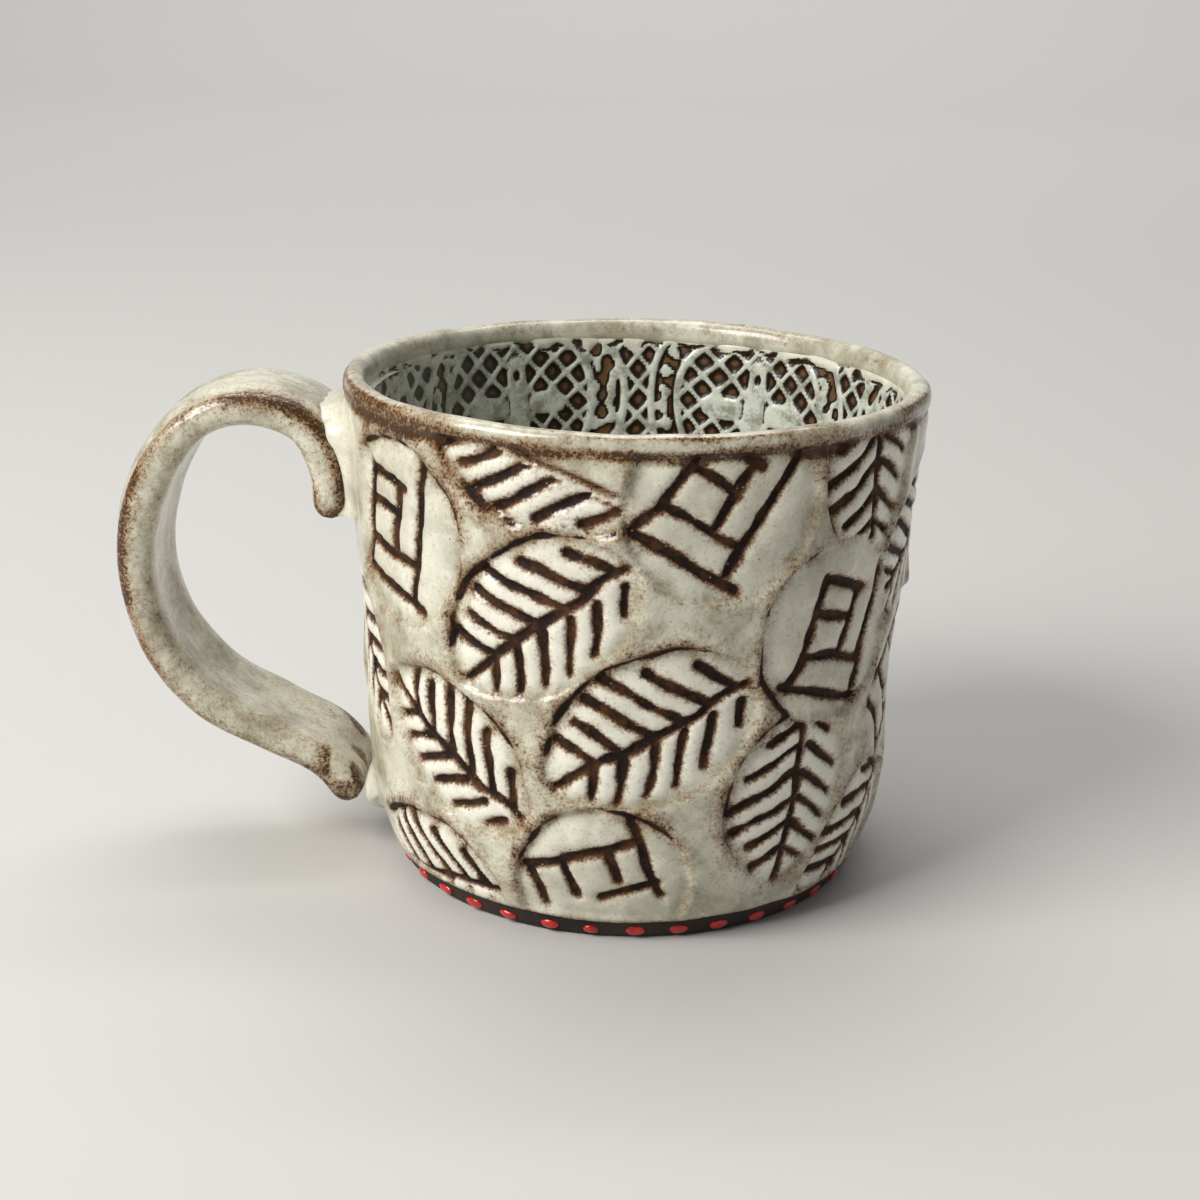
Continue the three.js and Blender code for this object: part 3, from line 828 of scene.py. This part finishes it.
# ---------------------------------------------------------------------------------------------------------
# Join coils. A soft coil is laid round each end of the strap and worked with a wet finger into the wall and
# the strap until the three run together, so each is modelled as the blend of all three.
BLEND_GRAIN = 0.5 * MM
COIL_PRESSED = 0.75  # how much thinner the worked coil is than when it was laid, mm
PATCH_THICK, PATCH_HALF_WIDTH, PATCH_COLUMNS = 2.2, 13.6, 256
PATCH_NEAREST = 30.0  # the patch is only on the handle's side, this far from the mug's axis or further
STRAP_REACH = 55.0  # how far from the mug's axis the strap goes into the blend, mm
STRAP_SPARE = 2.0  # how far it goes above and below the patch
BLEND_TIMES, FILLET_TIMES = 24, 14  # how often the blend is smoothed, and the fillet pressed into it
SKIN_DEPTH = 0.2  # how far the blend lies under the strap and the wall away from the corner, mm
FILLET = 2.6
FILLET_REACH = 3.6  # how far from the strap the fillet dies out on the wall, mm
CROWN, CROWN_FALL, BELLY = 4.0, 1.7, 2.85  # the strap's thickness behind its line, and inside it
STRAP_FLANK = 9.7


def copy_of(source, name):
    piece = source.copy()
    piece.data = source.data.copy()
    piece.name = piece.data.name = name
    piece.parent = None
    piece.hide_render = False
    bpy.context.collection.objects.link(piece)
    piece.hide_set(False)
    return piece


def select_only(*pieces):
    bpy.ops.object.select_all(action="DESELECT")
    for piece in pieces:
        piece.select_set(True)
    bpy.context.view_layer.objects.active = pieces[-1]


def cut_away(piece, point, direction):
    """Cuts off what lies on the direction's side of a plane through point (mm) and closes the cut."""
    select_only(piece)
    bpy.ops.object.mode_set(mode="EDIT")
    bpy.ops.mesh.select_all(action="SELECT")
    place = [value * MM for value in point]
    bpy.ops.mesh.bisect(plane_co=place, plane_no=direction, use_fill=True, clear_outer=True)
    bpy.ops.object.mode_set(mode="OBJECT")


def swell_piece(piece, amount):
    select_only(piece)
    bpy.ops.object.mode_set(mode="EDIT")
    bpy.ops.mesh.select_all(action="SELECT")
    bpy.ops.transform.shrink_fatten(value=amount * MM)
    bpy.ops.object.mode_set(mode="OBJECT")


def off_the_strap(points):
    """Distance in mm from the strap's surface; 0 inside it."""
    line, ways = strap_line[::6], headings[::6]
    reach = np.stack([-points[:, :1] - line[None, :, 0], points[:, 2:] - line[None, :, 1]])
    away = np.hypot(*reach)
    rows = np.arange(len(points))
    nearest = away.argmin(1)
    way = ways[nearest]
    behind = reach[1, rows, nearest] * way[:, 0] > reach[0, rows, nearest] * way[:, 1]
    width = np.abs(points[:, 1])
    thick = np.where(behind, CROWN - CROWN_FALL * np.minimum(width / STRAP_FLANK, 1) ** 2, BELLY)
    return np.hypot(np.maximum(width - STRAP_FLANK - 0.1, 0), np.maximum(away[rows, nearest] - thick, 0))


def pressed_to_wall(points):
    """The worked clay hollowed to a fillet that dies out on the wall a few mm from the strap."""
    most = FILLET / (off_the_strap(points) + 0.08) - FILLET / FILLET_REACH
    face = wall_face[: wall_face[:, 1].argmax()]
    radius = np.hypot(points[:, 0], points[:, 1])
    wall = np.interp(points[:, 2], face[:, 1], face[:, 0])
    scale = (wall + np.minimum(radius - wall, most)) / radius
    return points * np.column_stack([scale, scale, np.ones(len(scale))])


def smoothed(piece, times):
    modifier = piece.modifiers.new("smooth", "SMOOTH")
    modifier.factor = 0.5
    modifier.iterations = times
    bpy.ops.object.modifier_apply(modifier="smooth")


def join_coil(node, low, high):
    """Blends the coil of that node with the strap's end and the wall between two heights, in mm."""
    coil = copy_of(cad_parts[node], node + "_worked")
    coil.data.materials.clear()
    swell_piece(coil, -COIL_PRESSED)
    end = copy_of(strap, "strap_end")
    swell_piece(end, -SKIN_DEPTH)
    cut_away(end, (-STRAP_REACH, 0, 0), (-1, 0, 0))
    cut_away(end, (0, 0, low - STRAP_SPARE), (0, 0, -1))
    cut_away(end, (0, 0, high + STRAP_SPARE), (0, 0, 1))
    face = wall_face[(wall_face[:, 1] > low) & (wall_face[:, 1] < high)] - [SKIN_DEPTH, 0]
    patch = turned("wall_patch", np.vstack([face[::3], face[::-3] - [PATCH_THICK, 0]]), PATCH_COLUMNS)
    cut_away(patch, (-PATCH_NEAREST, 0, 0), (1, 0, 0))
    for side in (-1, 1):
        cut_away(patch, (0, side * PATCH_HALF_WIDTH, 0), (0, side, 0))
    select_only(end, patch, coil)
    bpy.ops.object.join()
    remesh = coil.modifiers.new("remesh", "REMESH")
    remesh.mode = "VOXEL"
    remesh.voxel_size = BLEND_GRAIN
    bpy.ops.object.modifier_apply(modifier="remesh")
    smoothed(coil, BLEND_TIMES)
    move_points(coil, pressed_to_wall(points_of(coil)))
    smoothed(coil, FILLET_TIMES)
    bpy.ops.object.shade_smooth()
    return coil


for node, low, high in (("upper_join_coil", 54, 76.8), ("lower_join_coil", 5.5, 27)):
    coil = join_coil(node, low, high)
    points = points_of(coil)
    near = bell(off_the_strap(points), 2.2)
    paint(coil, thin=0.12 * ease(ripple(points, 8, 71), 0.2, 1) * near, pad=0.55 * near)
    coil.data.materials.clear()
    coil.data.materials.append(glaze_material)
    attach(coil, "root")
    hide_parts(node)

# ---------------------------------------------------------------------------------------------------------
# Dots. Drops of thick red glaze set one by one on the bare edge of the floor disc with a fine bottle tip.
DOT_COUNT = 35
DOT_LEVEL = 1.5
DOT_SIZE, DOT_SIZE_VARIES = (1.45, 0.84, 0.5), (0.1, 0.05, 0.05)  # half width, half height, how proud, mm
DOT_SLIP = (0.14, 0.06)  # how far a drop is set off its place, along and up, mm
FIRST_DOT = math.radians(3.2) - math.pi / 2
DROP_SUNK = 0.12  # how much of a drop's lower half is kept, as a share of its radius
EDGE_FOOT, EDGE_TOP = (37.2, 0.5), (38.4, 3.7)  # radius and height of the clay edge's ends
EDGE_LEAN = math.atan2(EDGE_TOP[0] - EDGE_FOOT[0], EDGE_TOP[1] - EDGE_FOOT[1])
EDGE_RADIUS = EDGE_FOOT[0] + (DOT_LEVEL - EDGE_FOOT[1]) * math.tan(EDGE_LEAN)
RED, DEEP_RED, RED_SPECK = srgb(196, 28, 20), srgb(150, 16, 12), srgb(84, 12, 10)


def red_drop(name):
    """Thick glossy red glaze, a little clouded, with a few dark specks."""
    drop = Shader(name)
    clouds = drop.noise(1.6, 3, 0.6)
    colour = drop.mix(RED, DEEP_RED, clouds.step(0.4, 0.7))
    colour = drop.mix(colour, RED_SPECK, drop.specks(1.1, 0.12, 0.3) * 0.7)
    skin = drop.bump(drop.noise(0.9, 2, 0.5, 0, 3), 0.06)
    rough = 0.22 + (clouds - 0.5) * 0.15
    drop.finish(Base_Color=colour, Roughness=rough, Normal=skin)
    return drop.finish(Coat_Weight=0.4, Coat_Roughness=0.08)


red_material = red_drop("glaze_red")
bpy.ops.object.select_all(action="DESELECT")
bpy.ops.mesh.primitive_uv_sphere_add(segments=28, ring_count=18, radius=MM)
drop = bpy.context.object
cut_away(drop, (0, 0, -DROP_SUNK), (0, 0, -1))
select_only(drop)
bpy.ops.object.shade_smooth_by_angle(angle=math.radians(50))
drop_points = points_of(drop)
rng = np.random.default_rng(81)
for number in range(DOT_COUNT):
    node = f"dot_{number + 1:02d}"
    angle = FIRST_DOT + 2 * math.pi * number / DOT_COUNT
    width, high, proud = rng.normal(DOT_SIZE, DOT_SIZE_VARIES)
    slip_round, slip_up = rng.normal((0, 0), DOT_SLIP)
    level_out = np.array([math.cos(angle), math.sin(angle), 0])
    outward = level_out * math.cos(EDGE_LEAN) - np.array([0, 0, math.sin(EDGE_LEAN)])
    around = np.array([-math.sin(angle), math.cos(angle), 0])
    upward = np.cross(outward, around)
    seat = level_out * EDGE_RADIUS + [0, 0, DOT_LEVEL]
    dot = copy_of(drop, node + "_drop")
    squash = 1 + 0.08 * ripple(drop_points * 2, 2, 100 + number)
    u, v, w = (drop_points * squash[:, None]).T
    shape = np.outer(u * width + slip_round, around) + np.outer(v * high + slip_up, upward)
    move_points(dot, seat + shape + np.outer(w * proud, outward))
    dot.data.materials.append(red_material)
    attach(dot, "root")
    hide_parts(node)
bpy.data.objects.remove(drop)

# ---------------------------------------------------------------------------------------------------------
# Stage: a plain pale table whose far edge sweeps up into a backdrop, a large soft window high on the left,
# a softer light from above, a weak fill on the right, and a wash of light over the backdrop.
TABLE_SIZE, TABLE_FAR_EDGE = 12.0, 1.6  # metres
SWEEP_RADIUS, SWEEP_STEPS, BACKDROP_HEIGHT = 0.9, 18, 4.0
PAPER_GREY = srgb(194, 192, 188)
bpy.ops.object.select_all(action="DESELECT")
bpy.ops.mesh.primitive_plane_add(size=TABLE_SIZE, location=(0, TABLE_FAR_EDGE - TABLE_SIZE / 2, 0))
table = bpy.context.object
table.name = table.data.name = "table"
bpy.ops.object.mode_set(mode="EDIT")
bpy.ops.mesh.select_mode(type="EDGE")
bpy.ops.mesh.select_all(action="DESELECT")
bpy.ops.object.mode_set(mode="OBJECT")
for edge in table.data.edges:
    edge.select = all(table.data.vertices[k].co.y > 0 for k in edge.vertices)
bpy.ops.object.mode_set(mode="EDIT")
turn = math.pi / 2 / SWEEP_STEPS
for step in range(SWEEP_STEPS):
    lean = turn * (step + 0.5)
    rise = (0, SWEEP_RADIUS * turn * math.cos(lean), SWEEP_RADIUS * turn * math.sin(lean))
    bpy.ops.mesh.extrude_edges_move(TRANSFORM_OT_translate={"value": rise})
bpy.ops.mesh.extrude_edges_move(TRANSFORM_OT_translate={"value": (0, 0, BACKDROP_HEIGHT)})
bpy.ops.mesh.select_mode(type="VERT")
bpy.ops.mesh.select_all(action="SELECT")
bpy.ops.object.mode_set(mode="OBJECT")
bpy.ops.object.shade_smooth()
paper = Shader("table_paper")
table.data.materials.append(paper.finish(Base_Color=PAPER_GREY, Roughness=0.8))

ROOM_COLOUR, ROOM_STRENGTH = (0.93, 0.96, 1.0, 1), 0.2
world = bpy.data.worlds.new("studio")
bpy.context.scene.world = world
world.use_nodes = True
world.node_tree.nodes["Background"].inputs["Color"].default_value = ROOM_COLOUR
world.node_tree.nodes["Background"].inputs["Strength"].default_value = ROOM_STRENGTH
bpy.context.scene.view_settings.view_transform = "Standard"


def soft_light(name, place, target, size, power, colour):
    light = bpy.data.lights.new(name, "AREA")
    light.shape = "RECTANGLE"
    light.size, light.size_y = size
    light.energy = power
    light.color = colour
    lamp = bpy.data.objects.new(name, light)
    bpy.context.collection.objects.link(lamp)
    lamp.location = place
    away = lamp.location - Vector(target)
    lamp.rotation_euler = away.to_track_quat("Z", "Y").to_euler()


DAYLIGHT, SKYLIGHT, PLAIN_LIGHT = (1.0, 0.99, 0.975), (0.95, 0.97, 1.0), (1.0, 1.0, 1.0)
MUG_MIDDLE, BACKDROP_MIDDLE = (0, 0, 0.04), (0, 2.4, 0.3)
soft_light("window", (-0.62, -0.42, 0.6), MUG_MIDDLE, (0.5, 0.5), 10.4, DAYLIGHT)
soft_light("overhead", (-0.1, 0.2, 0.9), MUG_MIDDLE, (0.6, 0.4), 2.2, DAYLIGHT)
soft_light("fill", (0.8, -0.6, 0.35), MUG_MIDDLE, (0.6, 0.6), 0.3, SKYLIGHT)
soft_light("backdrop_wash", (0, 1.1, 1.9), BACKDROP_MIDDLE, (2.4, 0.8), 40, PLAIN_LIGHT)

CAMERA_PLACE = (0, -311.08, 143.65)
LENS, FILM_WIDTH, NEAREST_SEEN = 60, 36, 0.01
CAMERA_YAW, CAMERA_PITCH, CAMERA_ROLL = (math.radians(angle) for angle in (-0.91, 18.1, 1.3))
camera = bpy.data.objects.new("camera", bpy.data.cameras.new("camera"))
bpy.context.collection.objects.link(camera)
camera.data.lens = LENS
camera.data.sensor_width = FILM_WIDTH
camera.data.clip_start = NEAREST_SEEN
camera.location = [value * MM for value in CAMERA_PLACE]
aim = Euler((math.pi / 2 - CAMERA_PITCH, 0, -CAMERA_YAW)).to_matrix() @ Matrix.Rotation(CAMERA_ROLL, 3, "Z")
camera.rotation_euler = aim.to_euler()
bpy.context.scene.camera = camera
